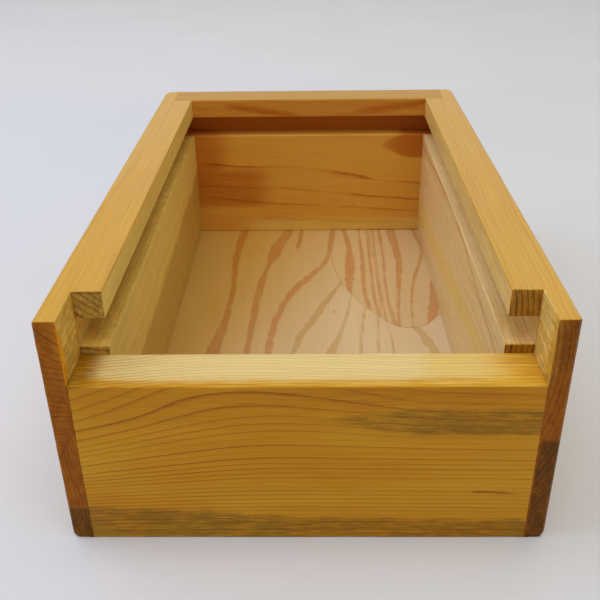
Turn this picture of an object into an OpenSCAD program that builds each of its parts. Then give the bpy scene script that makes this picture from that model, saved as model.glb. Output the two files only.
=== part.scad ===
// Pine box body for a sliding lid, used as a block mold.
// Two side boards carry a rabbet at each end, so that a thin cheek laps over the ends of the
// front and back boards. A groove for the lid runs along both sides and across the back.
// The low front board leaves the mouth that the lid slides in through. The plywood bottom
// lies in a rabbet, flush with the underside.
// Frame: X across the box, Y from the mouth (-Y) to the back (+Y), Z up. The origin is the
// middle of the underside.

/* [Box] */
// Outside width, across both side boards
box_w = 184; // [150:1:240]
// Outside length, from the mouth to the back
box_l = 292; // [240:1:360]
// Outside height
box_h = 98.5; // [92:0.5:130]

/* [Boards] */
// Thickness of the side boards
side_t = 19; // [16:0.5:22]
// Thickness of the front and back boards
end_t = 21; // [18:0.5:24]
// Thickness of the cheek that laps over the ends of the front and back boards
cheek_t = 8; // [6:0.5:9]
// Height of the front board
front_h = 72; // [60:1:74]

/* [Lid groove] */
// Height of the groove's lower face above the underside
groove_z = 75.5; // [75:0.5:78]
// Height of the groove itself
groove_h = 12; // [6:0.5:12]

/* [Plywood bottom] */
// Width of the rabbet that the bottom lies in
rabbet_w = 10; // [8:0.5:11]
// Gap between the edge of the bottom and the rabbet
bottom_gap = 0.5; // [0.2:0.1:1]
// Thickness of the face veneer, which the cavity shows
face_veneer_t = 2.5; // [1.5:0.1:3]
// Thickness of the core ply
core_t = 4; // [3:0.1:5]
// Thickness of the back veneer, on the underside
back_veneer_t = 2.5; // [1.5:0.1:3]

/* [Veneer patch] */
// Distance of the patch's middle to the right of the box's middle
patch_x = 55; // [30:1:60]
// Distance of the patch's middle behind the box's middle
patch_y = 85; // [40:1:90]
// Width of the patch across its middle
patch_w = 81; // [50:1:89]
// Radius of the patch's two long sides
patch_side_r = 130; // [120:1:160]
// Radius of the patch's rounded ends
patch_end_r = 14; // [8:1:18]

/* [Edges] */
// Radius of the upright corners at the back
back_corner_r = 5; // [2:0.5:6]
// Radius of the upright corners at the mouth
front_corner_r = 2.5; // [1:0.5:5]
// Radius of the long lower edges
lower_edge_r = 3; // [1:0.5:4]
// Radius of the eased top edges
top_edge_r = 1; // [0.5:0.5:2]

/* [Brads] */
// Diameter of a brad's shank
brad_d = 1.6; // [1.2:0.1:2]
// Diameter of a brad's head
brad_head_d = 2.6; // [2.2:0.1:3.2]
// Thickness of a brad's head
brad_head_t = 1; // [0.8:0.1:1.5]
// Depth that each head is driven below the surface
brad_set = 0.6; // [0.3:0.1:1]
// Length of the brads through the cheeks
corner_brad_l = 32; // [25:1:35]
// Length of the brads through the bottom
bottom_brad_l = 25; // [20:1:30]

/* [Hidden] */
$fn = 96;
// Overlap given to cutters so that no cut ends exactly on a face
over = 1;
half_w = box_w / 2;
half_l = box_l / 2;
// The cavity's half sizes, between the inner faces of the boards
cavity_x = half_w - side_t;
cavity_y = half_l - end_t;
// Depth of the end rabbets, and of the lid groove, which runs out into them
lap_d = side_t - cheek_t;
// Length of the front and back boards, from cheek to cheek
end_board_l = box_w - 2 * cheek_t;
// Layers of the plywood bottom, from the underside up
bottom_t = back_veneer_t + core_t + face_veneer_t;
bottom_w = 2 * (cavity_x + rabbet_w - bottom_gap);
bottom_l = 2 * (cavity_y + rabbet_w - bottom_gap);
// Corner brads, in the middle of the end boards' thickness
brad_y = half_l - end_t / 2;
front_brad_heights = [18, 54];
back_brad_heights = [18, 42, 66];
// Bottom brads, in the middle of the rabbet, spread evenly and clear of the corners
brad_ledge = rabbet_w / 2;
brad_corner_gap = 22;
bottom_brad_rows_y = [for (i = [-2:2]) i * (cavity_y - brad_corner_gap) / 2];
bottom_brad_rows_x = [for (i = [-1:1]) i * (cavity_x - brad_corner_gap)];

// ---- Shared shapes ----

// Everything outside a quarter circle of radius r, for a corner at the origin whose solid
// lies towards -x and -y. Subtracting it rounds that corner.
module corner_cutter(r) {
    translate([-r, -r])
        difference() {
            square(r + over);
            circle(r);
        }
}

// One side board, for the right-hand side: seen from above, with rounded upright corners
module side_plan() {
    difference() {
        translate([cavity_x, -half_l]) square([side_t, box_l]);
        translate([half_w, half_l]) corner_cutter(back_corner_r);
        translate([half_w, -half_l]) mirror([0, 1]) corner_cutter(front_corner_r);
    }
}

// The same board's cross-section, X across and Z up, with its long edges rounded
module side_section() {
    difference() {
        translate([cavity_x, 0]) square([side_t, box_h]);
        translate([half_w, 0]) mirror([0, 1]) corner_cutter(lower_edge_r);
        translate([half_w, box_h]) corner_cutter(top_edge_r);
        translate([cavity_x, box_h]) mirror([1, 0]) corner_cutter(top_edge_r);
    }
}

// A section drawn in X and Z, run along Y for a length centred on the origin
module along_y(length) {
    translate([0, length / 2, 0])
        rotate([90, 0, 0])
            linear_extrude(length)
                children();
}

// A section drawn in Y and Z, run along X for a length centred on the origin
module along_x(length) {
    translate([-length / 2, 0, 0])
        rotate([90, 0, 90])
            linear_extrude(length)
                children();
}

// The end rabbet, cut from the cavity side; end is -1 at the mouth and 1 at the back
module end_rabbet(end) {
    low_y = end < 0 ? -half_l - over : half_l - end_t;
    translate([cavity_x - over, low_y, -over])
        cube([lap_d + over, end_t + over, box_h + 2 * over]);
}

// The right-hand side board; the left one is its mirror image
module side_board() {
    difference() {
        intersection() {
            linear_extrude(box_h) side_plan();
            along_y(box_l) side_section();
        }
        end_rabbet(-1);
        end_rabbet(1);
        // Lid groove
        translate([cavity_x - over, -half_l, groove_z])
            cube([lap_d + over, box_l, groove_h]);
        // Bottom rabbet
        translate([cavity_x - over, -half_l, -over])
            cube([rabbet_w + over, box_l, bottom_t + over]);
    }
}

// The patch's outline: two long arcs whose ends are rounded by a smaller circle
module patch_outline() {
    side_x = patch_side_r - patch_w / 2;
    end_y = sqrt(pow(patch_side_r - patch_end_r, 2) - pow(side_x, 2));
    // Height at which the long arcs and the end circle touch
    touch_y = end_y * patch_side_r / (patch_side_r - patch_end_r);
    translate([patch_x, patch_y]) {
        intersection() {
            translate([side_x, 0]) circle(patch_side_r, $fn = 240);
            translate([-side_x, 0]) circle(patch_side_r, $fn = 240);
            translate([-patch_w, -touch_y]) square([2 * patch_w, 2 * touch_y]);
        }
        for (end = [-1, 1])
            translate([0, end * end_y]) circle(patch_end_r);
    }
}

// The plywood panel's outline
module panel_outline() {
    square([bottom_w, bottom_l], center = true);
}

// One brad, driven along +Z from a surface at z = 0, with its head below that surface
module brad(length) {
    translate([0, 0, brad_set]) {
        cylinder(h = brad_head_t, d = brad_head_d);
        cylinder(h = length, d = brad_d);
    }
}

// The hole that a brad leaves, with the pit over its set head
module brad_hole(length) {
    translate([0, 0, -over])
        cylinder(h = over + brad_set + brad_head_t, d = brad_head_d);
    cylinder(h = brad_set + length, d = brad_d);
}

// Places its children at every brad through a cheek
module at_corner_brads() {
    for (side = [0, 1])
        mirror([side, 0, 0]) {
            for (z = front_brad_heights)
                translate([half_w, -brad_y, z]) rotate([0, -90, 0]) children();
            for (z = back_brad_heights)
                translate([half_w, brad_y, z]) rotate([0, -90, 0]) children();
        }
}

// Places its children at every brad through the bottom
module at_bottom_brads() {
    for (side = [-1, 1]) {
        for (y = bottom_brad_rows_y)
            translate([side * (cavity_x + brad_ledge), y, 0]) children();
        for (x = bottom_brad_rows_x)
            translate([x, side * (cavity_y + brad_ledge), 0]) children();
    }
}

module all_brad_holes() {
    at_corner_brads() brad_hole(corner_brad_l);
    at_bottom_brads() brad_hole(bottom_brad_l);
}

// ---- Sub-parts ----

module right_side() {
    color("#cfa450")
        difference() {
            side_board();
            all_brad_holes();
        }
}

module left_side() {
    color("#c9a05c")
        difference() {
            mirror([1, 0, 0]) side_board();
            all_brad_holes();
        }
}

// Low board at the mouth, rabbeted along its inner lower edge for the bottom
module front_board() {
    color("#b98a38")
        difference() {
            along_x(end_board_l)
                difference() {
                    translate([-half_l, 0]) square([end_t, front_h]);
                    translate([-half_l, front_h]) mirror([1, 0]) corner_cutter(top_edge_r);
                    translate([-cavity_y - rabbet_w, -over])
                        square([rabbet_w + over, bottom_t + over]);
                }
            all_brad_holes();
        }
}

// Full-height board, with the lid groove across its inner face
module back_board() {
    color("#a8702f")
        difference() {
            along_x(end_board_l)
                difference() {
                    translate([cavity_y, 0]) square([end_t, box_h]);
                    translate([half_l, box_h]) corner_cutter(top_edge_r);
                    translate([cavity_y - over, groove_z]) square([lap_d + over, groove_h]);
                    translate([cavity_y - over, -over])
                        square([rabbet_w + over, bottom_t + over]);
                }
            all_brad_holes();
        }
}

module bottom_back_veneer() {
    color("#c9a878")
        difference() {
            linear_extrude(back_veneer_t) panel_outline();
            all_brad_holes();
        }
}

module bottom_core() {
    color("#b8935c")
        difference() {
            translate([0, 0, back_veneer_t]) linear_extrude(core_t) panel_outline();
            all_brad_holes();
        }
}

module bottom_face_veneer() {
    color("#cda77a")
        difference() {
            translate([0, 0, back_veneer_t + core_t])
                linear_extrude(face_veneer_t)
                    difference() {
                        panel_outline();
                        patch_outline();
                    }
            all_brad_holes();
        }
}

// The plug that fills a cut-out in the face veneer, trimmed with the panel's edges
module veneer_patch() {
    color("#c4945f")
        difference() {
            translate([0, 0, back_veneer_t + core_t])
                linear_extrude(face_veneer_t)
                    intersection() {
                        panel_outline();
                        patch_outline();
                    }
            all_brad_holes();
        }
}

module corner_brads() {
    color("#8a8782") at_corner_brads() brad(corner_brad_l);
}

module bottom_brads() {
    color("#8a8782") at_bottom_brads() brad(bottom_brad_l);
}

left_side();
right_side();
front_board();
back_board();
bottom_core();
bottom_face_veneer();
bottom_back_veneer();
veneer_patch();
corner_brads();
bottom_brads();
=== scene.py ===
import math

import bpy
import numpy as np
from mathutils import Matrix, Vector


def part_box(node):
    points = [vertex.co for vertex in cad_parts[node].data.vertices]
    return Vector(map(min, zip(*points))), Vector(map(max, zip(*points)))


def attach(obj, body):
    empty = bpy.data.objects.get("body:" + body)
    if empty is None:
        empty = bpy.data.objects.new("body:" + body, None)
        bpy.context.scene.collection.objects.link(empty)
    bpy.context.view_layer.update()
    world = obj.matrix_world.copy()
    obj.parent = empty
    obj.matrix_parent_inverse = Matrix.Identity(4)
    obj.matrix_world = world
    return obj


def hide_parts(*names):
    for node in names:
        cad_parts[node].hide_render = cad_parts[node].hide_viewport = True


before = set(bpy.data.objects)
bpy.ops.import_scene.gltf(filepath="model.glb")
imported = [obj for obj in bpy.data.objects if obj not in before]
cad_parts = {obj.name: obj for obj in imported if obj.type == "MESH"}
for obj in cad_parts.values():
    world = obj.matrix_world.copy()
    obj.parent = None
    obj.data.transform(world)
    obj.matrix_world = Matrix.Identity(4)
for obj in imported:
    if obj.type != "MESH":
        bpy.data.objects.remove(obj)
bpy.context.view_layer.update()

scene = bpy.context.scene
MM = 0.001

# ---- Dimensions, in millimetres, read from the CAD nodes ----


def box_mm(node):
    """A CAD node's low and high corners, in millimetres."""
    low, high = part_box(node)
    return np.array(low) / MM, np.array(high) / MM


def points_of(obj):
    """An object's points, in millimetres."""
    co = np.empty(len(obj.data.vertices) * 3)
    obj.data.vertices.foreach_get("co", co)
    return co.reshape(-1, 3) / MM


SIDE_LOW, SIDE_HIGH = box_mm("right_side")
FRONT_HIGH = box_mm("front_board")[1]
BACK_LOW = box_mm("back_board")[0]

HALF_W, HALF_L, BOX_H = SIDE_HIGH
CAVITY_X = SIDE_LOW[0]            # inner faces of the side boards
CAVITY_Y = BACK_LOW[1]            # inner faces of the front and back boards
CHEEK_X = FRONT_HIGH[0]           # inner faces of the thin cheeks
FRONT_H = FRONT_HIGH[2]
FLOOR_Z = box_mm("bottom_face_veneer")[1][2]

back_points = points_of(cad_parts["back_board"])
inner_levels = np.unique(back_points[np.abs(back_points[:, 1] - CAVITY_Y) < 0.01][:, 2].round(3))
GROOVE_LOW, GROOVE_HIGH = inner_levels[1], inner_levels[2]
RABBET = 10.0                     # width of the step that the plywood bottom sits in
RABBET_X = CAVITY_X + RABBET
RABBET_Y = CAVITY_Y + RABBET
GROOVE_Y = CAVITY_Y + (CHEEK_X - CAVITY_X)

# ---- Meshes: boxes joined on one grid, then eased edges ----


def grid_lines(planes, cell, fine=(0.3, 0.9)):
    """Coordinates through every plane, finer beside each, with no cell wider than cell."""
    out = []
    for low, high in zip(planes[:-1], planes[1:]):
        room = high - low
        beside = [f for f in fine if f < room / 2 - 0.25]
        edge = beside[-1] if beside else 0.0
        steps = max(1, math.ceil((room - 2 * edge) / cell))
        out += [low] + [low + f for f in beside]
        out += [low + edge + (room - 2 * edge) * i / steps for i in range(1, steps)]
        out += [high - f for f in reversed(beside)]
    return np.array(out + [planes[-1]])


def joined_boxes(boxes, lines):
    """Corner points and outward quads of the surface of the joined boxes, on a grid."""
    middles = [(a[1:] + a[:-1]) / 2 for a in lines]
    centre = np.meshgrid(*middles, indexing="ij")
    solid = np.zeros(centre[0].shape, bool)
    for low, high in boxes:
        inside = np.ones_like(solid)
        for k in range(3):
            inside &= (centre[k] > low[k]) & (centre[k] < high[k])
        solid |= inside
    padded = np.pad(solid, 1)
    counts = np.array([len(a) for a in lines])
    quads = []
    for axis in range(3):
        u, v = (axis + 1) % 3, (axis + 2) % 3
        for step in (-1, 1):
            beyond = np.roll(padded, -step, axis)[1:-1, 1:-1, 1:-1]
            cells = np.argwhere(solid & ~beyond)
            corners = np.repeat(cells[:, None, :], 4, axis=1)
            corners[:, :, axis] += step > 0
            order = ((0, 0), (1, 0), (1, 1), (0, 1))
            for n, (du, dv) in enumerate(order if step > 0 else order[::-1]):
                corners[:, n, u] += du
                corners[:, n, v] += dv
            quads.append(corners)
    quads = np.concatenate(quads)
    ids = (quads[..., 0] * counts[1] + quads[..., 1]) * counts[2] + quads[..., 2]
    used, faces = np.unique(ids, return_inverse=True)
    index = np.stack(np.unravel_index(used, counts), axis=1)
    points = np.stack([lines[k][index[:, k]] for k in range(3)], axis=1)
    return points, faces.reshape(ids.shape)


def eased(points, boxes, radius):
    """Moves surface points onto edges of the given radius, one radius for each point."""
    nearest = np.full(len(points), np.inf)
    moved = points.copy()
    r = radius[:, None]
    for low, high in boxes:
        core = np.clip(points, np.array(low) + r, np.array(high) - r)
        away = points - core
        reach = np.linalg.norm(away, axis=1)
        closer = reach < nearest - 1e-9
        target = core + away * (radius / np.maximum(reach, 1e-9))[:, None]
        moved[closer] = target[closer]
        nearest = np.minimum(nearest, reach)
    return moved


def round_corner(points, axes, corner, towards, radius):
    """Rounds a square outer corner. towards gives the signs that point out of the solid."""
    towards = np.array(towards, float)
    centre = np.array(corner) - towards * radius
    offset = (points[:, axes] - centre) * towards
    inside = (offset > 0).all(axis=1)
    length = np.maximum(np.hypot(offset[:, 0], offset[:, 1]), 1e-9)
    scale = np.where(inside, offset.max(axis=1) / length, 1.0)
    points[:, axes] = centre + offset * scale[:, None] * towards


def new_object(name, points, faces):
    """A mesh object in the scene, from points in millimetres and lists of point numbers."""
    mesh = bpy.data.meshes.new(name)
    mesh.from_pydata((points * MM).tolist(), [], faces)
    mesh.validate()
    obj = bpy.data.objects.new(name, mesh)
    scene.collection.objects.link(obj)
    return obj


def prism(name, outline, low, high):
    """An upright prism over an anticlockwise outline."""
    n = len(outline)
    points = np.concatenate([
        np.column_stack([outline, np.full(n, low)]), np.column_stack([outline, np.full(n, high)])
    ])
    after = np.roll(np.arange(n), -1)
    sides = np.stack([np.arange(n), after, after + n, np.arange(n) + n], axis=1).tolist()
    return new_object(name, points, [list(range(n))[::-1], list(range(n, 2 * n)), *sides])


SHARP_ANGLE = math.radians(38)    # edges that turn more than this are shaded sharp


def shade(obj):
    mesh = obj.data
    mesh.polygons.foreach_set("use_smooth", [True] * len(mesh.polygons))
    mesh.set_sharp_from_angle(angle=SHARP_ANGLE)


def set_field(obj, name, values):
    """Stores one number for each point, for the materials to read."""
    field = obj.data.attributes.new(name, "FLOAT", "POINT")
    field.data.foreach_set("value", np.asarray(values, np.float32))


def cut(obj, cutter, operation="DIFFERENCE"):
    """Applies an exact boolean to obj, and deletes the cutter."""
    modifier = obj.modifiers.new("cut", "BOOLEAN")
    modifier.operation = operation
    modifier.solver = "EXACT"
    modifier.object = cutter
    graph = bpy.context.evaluated_depsgraph_get()
    mesh = bpy.data.meshes.new_from_object(obj.evaluated_get(graph))
    obj.modifiers.clear()
    obj.data = mesh
    bpy.data.objects.remove(cutter)


def wander(t, wavelength, seed):
    """A smooth wave between about -1 and 1 that doesn't repeat soon."""
    turn = 2 * math.pi * np.asarray(t) / wavelength
    return (
        0.5 * np.sin(turn + 1.7 * seed)
        + 0.3 * np.sin(1.93 * turn + 2.9 * seed + 1.0)
        + 0.2 * np.sin(3.71 * turn + 4.3 * seed + 2.0)
    )


def ramp(low, high, value):
    """0 at low, 1 at high, with a soft start and end. low may be the larger number."""
    t = np.clip((value - low) / (high - low), 0, 1)
    return t * t * (3 - 2 * t)


def strongest(*masks):
    """The largest of the masks at each point."""
    return np.maximum.reduce(masks)


def ridge(distance, width):
    """1 where distance is 0, falling away on both sides over about width."""
    return np.exp(-((distance / width) ** 2))


def soft_curve(t, knots):
    """A smooth curve through given (t, value) knots."""
    knots = np.array(knots, float)
    fine = np.linspace(knots[0, 0], knots[-1, 0], 200)
    values = np.interp(fine, knots[:, 0], knots[:, 1])
    for _ in range(60):
        values[1:-1] = (values[:-2] + 2 * values[1:-1] + values[2:]) / 4
    return np.interp(t, fine, values)


def ring_phase(along, across, curves):
    """Ring number at each point. curves are (number, knots) pairs, lowest first, where the
    knots give a ring's height across the board at places along it."""
    rings = [(number, soft_curve(along, knots)) for number, knots in curves]
    phase = np.full(len(across), -np.inf)
    for (a, low), (b, high) in zip(rings[:-1], rings[1:]):
        between = a + (across - low) * (b - a) / (high - low)
        phase = np.where(np.isinf(phase) | (across > low), between, phase)
    return phase


# ---- Materials ----


def linear(code):
    """A linear colour from an sRGB hex code."""
    parts = [int(code[i:i + 2], 16) / 255 for i in (1, 3, 5)]
    return tuple(c / 12.92 if c <= 0.04045 else ((c + 0.055) / 1.055) ** 2.4 for c in parts)


class Nodes:
    """Short calls that build a material's nodes and return output sockets. axis is the
    direction of the grain, and position is in millimetres."""

    def __init__(self, name, axis=0):
        self.material = bpy.data.materials.new(name)
        self.material.use_nodes = True
        self.tree = self.material.node_tree
        self.tree.nodes.clear()
        self.axis = axis
        place = self.add("ShaderNodeTexCoord").outputs["Object"]
        self.position = self.scaled(place, (1 / MM, 1 / MM, 1 / MM))

    def add(self, kind, **settings):
        node = self.tree.nodes.new(kind)
        for key, value in settings.items():
            setattr(node, key, value)
        return node

    def feed(self, socket, value):
        if isinstance(value, bpy.types.NodeSocket):
            self.tree.links.new(value, socket)
        elif isinstance(value, tuple) and len(value) == 3 and socket.type == "RGBA":
            socket.default_value = (*value, 1)
        else:
            socket.default_value = value

    def math(self, operation, *values, clamp=False):
        node = self.add("ShaderNodeMath", operation=operation, use_clamp=clamp)
        for socket, value in zip(node.inputs, values):
            self.feed(socket, value)
        return node.outputs[0]

    def times(self, a, b, clamp=False):
        return self.math("MULTIPLY", a, b, clamp=clamp)

    def times_plus(self, a, b, c):
        return self.math("MULTIPLY_ADD", a, b, c)

    def vector(self, operation, *values):
        node = self.add("ShaderNodeVectorMath", operation=operation)
        for socket, value in zip(node.inputs, values):
            self.feed(socket, value)
        return node.outputs["Value" if operation == "DOT_PRODUCT" else "Vector"]

    def mix(self, factor, a, b, mode="MIX"):
        node = self.add("ShaderNodeMix", data_type="RGBA", blend_type=mode)
        self.feed(node.inputs["Factor"], factor)
        self.feed(node.inputs[6], a)
        self.feed(node.inputs[7], b)
        return node.outputs[2]

    def tint(self, factor, colour, by):
        return self.mix(factor, colour, by, "MULTIPLY")

    def remap(self, value, low, high, to_low=0.0, to_high=1.0, smooth=True):
        node = self.add("ShaderNodeMapRange")
        node.interpolation_type = "SMOOTHSTEP" if smooth else "LINEAR"
        for name, number in (
            ("From Min", low), ("From Max", high), ("To Min", to_low), ("To Max", to_high)
        ):
            node.inputs[name].default_value = number
        self.feed(node.inputs["Value"], value)
        return node.outputs["Result"]

    def noise(self, factors, detail, rough, distortion=0.0):
        """Noise over position. factors are its cycles per millimetre in X, Y and Z."""
        node = self.add("ShaderNodeTexNoise")
        self.feed(node.inputs["Vector"], self.scaled(self.position, factors))
        node.inputs["Scale"].default_value = 1.0
        node.inputs["Detail"].default_value = detail
        node.inputs["Roughness"].default_value = rough
        node.inputs["Distortion"].default_value = distortion
        return node.outputs["Fac"]

    def grain(self, across, along, detail, rough, distortion=0.0):
        """Noise that is drawn out along the grain."""
        factors = [across] * 3
        factors[self.axis] = along
        return self.noise(factors, detail, rough, distortion)

    def random(self, value):
        node = self.add("ShaderNodeTexWhiteNoise", noise_dimensions="1D")
        self.feed(node.inputs["W"], value)
        return node.outputs["Value"]

    def curve(self, value, stops):
        """A piecewise curve from (position, value) stops."""
        node = self.add("ShaderNodeValToRGB")
        elements = node.color_ramp.elements
        while len(elements) < len(stops):
            elements.new(0.5)
        for element, (position, level) in zip(elements, stops):
            element.position = position
            element.color = (level, level, level, 1)
        self.feed(node.inputs["Fac"], value)
        return node.outputs["Color"]

    def field(self, name):
        return self.add("ShaderNodeAttribute", attribute_name=name).outputs["Fac"]

    def scaled(self, vector, factors):
        return self.vector("MULTIPLY", vector, tuple(factors))

    def scaled_by(self, vector, factor):
        scaled = self.vector("SCALE", vector)
        self.feed(scaled.node.inputs["Scale"], factor)
        return scaled

    def bump(self, height, strength, distance, normal=None):
        node = self.add("ShaderNodeBump")
        node.inputs["Strength"].default_value = strength
        node.inputs["Distance"].default_value = distance
        self.feed(node.inputs["Height"], height)
        if normal is not None:
            self.feed(node.inputs["Normal"], normal)
        return node.outputs["Normal"]

    def finish(self, **inputs):
        shader = self.add("ShaderNodeBsdfPrincipled")
        for name, value in inputs.items():
            self.feed(shader.inputs[name.replace("_", " ")], value)
        output = self.add("ShaderNodeOutputMaterial")
        self.tree.links.new(shader.outputs[0], output.inputs["Surface"])
        return self.material


LATE_WOOD = (
    (0.0, 0.22), (0.05, 0.04), (0.20, 0.0), (0.66, 0.06), (0.83, 0.36), (0.92, 0.95),
    (0.97, 1.0), (1.0, 0.30)
)
WIDE_LATE_WOOD = (
    (0.0, 0.15), (0.03, 0.03), (0.15, 0.0), (0.78, 0.05), (0.87, 0.30), (0.935, 0.9),
    (0.975, 1.0), (1.0, 0.25)
)


def pine(
    name, axis, base, drift, late, end, stain, red, pale, gold, profile=LATE_WOOD,
    shine=0.22, broken=0.0, streaks=1.0, fray=1.0
):
    """Lacquered pine. Point fields steer it: ring is the ring number, line how strongly the
    rings show, stain, red, pale and gold are washes, relief lifts the late wood, bare picks
    the lighter and busier look of a cut shoulder over a dark end face, and sawn is how
    blotchy and rough a face is. broken fades rings in places, streaks is the strength of
    the fine light and dark lines, and fray is how ragged the washes' edges are."""
    n = Nodes(name, axis)
    fibre = n.grain(1.1, 0.018, 3, 0.6)
    hair = n.grain(4.5, 0.05, 2, 0.6)
    sway = n.grain(0.09, 0.012, 2, 0.5)
    cloud = n.grain(0.035, 0.010, 2, 0.5)
    axis_vector = tuple(1.0 if k == axis else 0.0 for k in range(3))
    normal = n.add("ShaderNodeNewGeometry").outputs["Normal"]
    facing = n.math("ABSOLUTE", n.vector("DOT_PRODUCT", normal, axis_vector))
    ended = n.remap(facing, 0.35, 0.85)
    # The ring pattern: slow early wood, then a dark late line that ends sharply
    shift = n.times_plus(sway, 0.36, -0.18)
    shift = n.times_plus(fibre, 0.12, shift)
    phase = n.math("ADD", n.field("ring"), shift)
    number = n.math("FLOOR", phase)
    part = n.math("FRACT", phase)
    lateness = n.curve(part, profile)
    strength = n.times_plus(n.random(number), 0.95, 0.28)
    line = n.times(lateness, strength)
    line = n.times(line, n.remap(fibre, 0.25, 0.65, 0.7, 1.2, smooth=False))
    line = n.times(line, n.field("line"), clamp=True)
    if broken:
        places = n.grain(0.11, 0.024, 2, 0.55)
        line = n.times(line, n.remap(places, 0.38, 0.62, 1 - broken, 1 + broken / 3))
    colour = n.mix(n.remap(cloud, 0.35, 0.70), base, drift)
    short = n.grain(1.3, 0.07, 3, 0.6)
    frayed = n.times_plus(fibre, 0.6, n.times_plus(short, 0.8, -0.7))
    frayed = n.times(frayed, fray)
    wash = {
        key: n.remap(n.math("ADD", n.field(key), frayed), 0.2, 0.8)
        for key in ("pale", "red", "stain", "gold")
    }
    colour = n.mix(wash["pale"], colour, pale)
    colour = n.mix(wash["gold"], colour, gold)
    colour = n.tint(line, colour, late)
    colour = n.tint(wash["red"], colour, red)
    blotch = n.grain(1.3, 0.11, 4, 0.72)
    shadowy = n.grain(0.16, 0.07, 3, 0.6)
    blotch = n.times_plus(shadowy, 0.4, n.times(blotch, 0.8))
    blotch = n.remap(blotch, 0.50, 0.70, 0.35, 1.35, False)
    blotchy = n.times(wash["stain"], blotch, clamp=True)
    colour = n.tint(blotchy, colour, stain)
    sawn = n.field("sawn")
    spread = n.times_plus(sawn, -0.8 * streaks, streaks)
    streak = n.remap(n.times_plus(hair, 0.5, fibre), 0.45, 1.05, -0.13, 0.12, False)
    streak = n.times_plus(streak, spread, 1.0)
    patchy = n.noise((0.24, 0.17, 0.24), 3, 0.6, 0.8)
    patchy = n.remap(patchy, 0.30, 0.70, -0.30, 0.24, False)
    streak = n.times_plus(patchy, sawn, streak)
    colour = n.scaled_by(colour, streak)
    # End grain drinks the lacquer and goes dark
    pores = n.noise((3.2, 3.2, 3.2), 2, 0.7)
    darkened = n.mix(n.field("bare"), end, (0.80, 0.72, 0.62))
    end_line = n.times_plus(n.random(number), 0.30, 0.16)
    end_line = n.times_plus(n.field("bare"), 0.62, end_line)
    end_line = n.times(lateness, end_line, clamp=True)
    mottle = n.noise((0.30, 0.30, 0.16), 4, 0.62, 0.8)
    end_colour = n.tint(1.0, colour, darkened)
    end_colour = n.tint(end_line, end_colour, (0.42, 0.28, 0.20))
    end_colour = n.tint(n.remap(pores, 0.40, 0.70, 0.0, 0.45), end_colour, (0.5, 0.42, 0.35))
    end_colour = n.tint(n.remap(mottle, 0.36, 0.62, 0.0, 0.8), end_colour, (0.70, 0.66, 0.70))
    colour = n.mix(ended, colour, end_colour)
    # Gloss and relief
    rough = n.times_plus(fibre, 0.16, 0.22)
    rough = n.times_plus(ended, 0.15, rough)
    rough = n.times_plus(sawn, 0.5, rough)
    height = n.times(lateness, n.math("ADD", n.field("relief"), 0.5))
    height = n.times_plus(hair, 0.35, height)
    height = n.times_plus(pores, n.times(ended, 0.9), height)
    height = n.times_plus(patchy, sawn, height)
    bumped = n.bump(height, 0.35, 0.00012)
    wavy = n.grain(0.06, 0.02, 1, 0.5)
    bumped = n.bump(wavy, 0.25, 0.0015, bumped)
    return n.finish(
        Base_Color=colour, Roughness=rough, Normal=bumped,
        Coat_Weight=n.times_plus(ended, -0.06, shine / 3), Coat_Roughness=0.18,
        Specular_IOR_Level=n.times_plus(ended, 0.12 - shine, shine)
    )


def veneer(name, base, shaded, lit):
    """Rotary-cut ply veneer: broad bands whose place and width come from point fields."""
    n = Nodes(name, 1)
    fibre = n.grain(1.3, 0.02, 3, 0.6)
    hair = n.grain(5.0, 0.06, 2, 0.6)
    sway = n.noise((0.28, 0.09, 0.28), 4, 0.62)
    cloud = n.noise((0.03, 0.012, 0.03), 2, 0.5)
    ragged = n.times_plus(sway, 5.6, -2.85)
    ragged = n.times_plus(n.math("SUBTRACT", fibre, 0.5), 1.0, ragged)
    edge = n.times_plus(ragged, n.field("frayed"), n.field("band"))
    band = n.times(n.remap(edge, -0.8, 0.8), n.remap(sway, 0.32, 0.6, 0.75, 1.1))
    band = n.times(band, n.remap(fibre, 0.2, 0.7, 0.6, 1.15, False), clamp=True)
    rim = n.remap(n.math("ABSOLUTE", n.math("SUBTRACT", edge, 0.2)), 0.0, 0.9, 0.45, 0.0)
    redness = n.remap(n.field("tone"), 0.6, 0.85)
    band_colour = n.mix(redness, (0.84, 0.75, 0.55), (0.86, 0.605, 0.43))
    # Painted shade and light: the floor runs from the shaded colour at its left and back, where the left
    # wall shades it, to the lit colour at its right
    colour = n.mix(n.field("across"), shaded, lit)
    colour = n.mix(n.remap(cloud, 0.35, 0.7, 0.0, 0.35), colour, base)
    colour = n.tint(band, colour, band_colour)
    colour = n.tint(rim, colour, (0.86, 0.80, 0.66))
    colour = n.tint(n.remap(n.field("seam"), 0.3, 1.0, 0.0, 0.5), colour, (0.7, 0.5, 0.35))
    streak = n.remap(n.times_plus(hair, 0.5, fibre), 0.45, 1.05, 0.95, 1.05, False)
    tinted = n.scaled_by(colour, streak)
    rough = n.times_plus(fibre, 0.16, 0.26)
    height = n.times_plus(hair, 0.4, n.times(band, 0.35))
    bumped = n.bump(height, 0.3, 0.0001)
    return n.finish(
        Base_Color=tinted, Roughness=rough, Normal=bumped, Coat_Weight=0.12,
        Coat_Roughness=0.25, Specular_IOR_Level=0.4
    )


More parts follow.
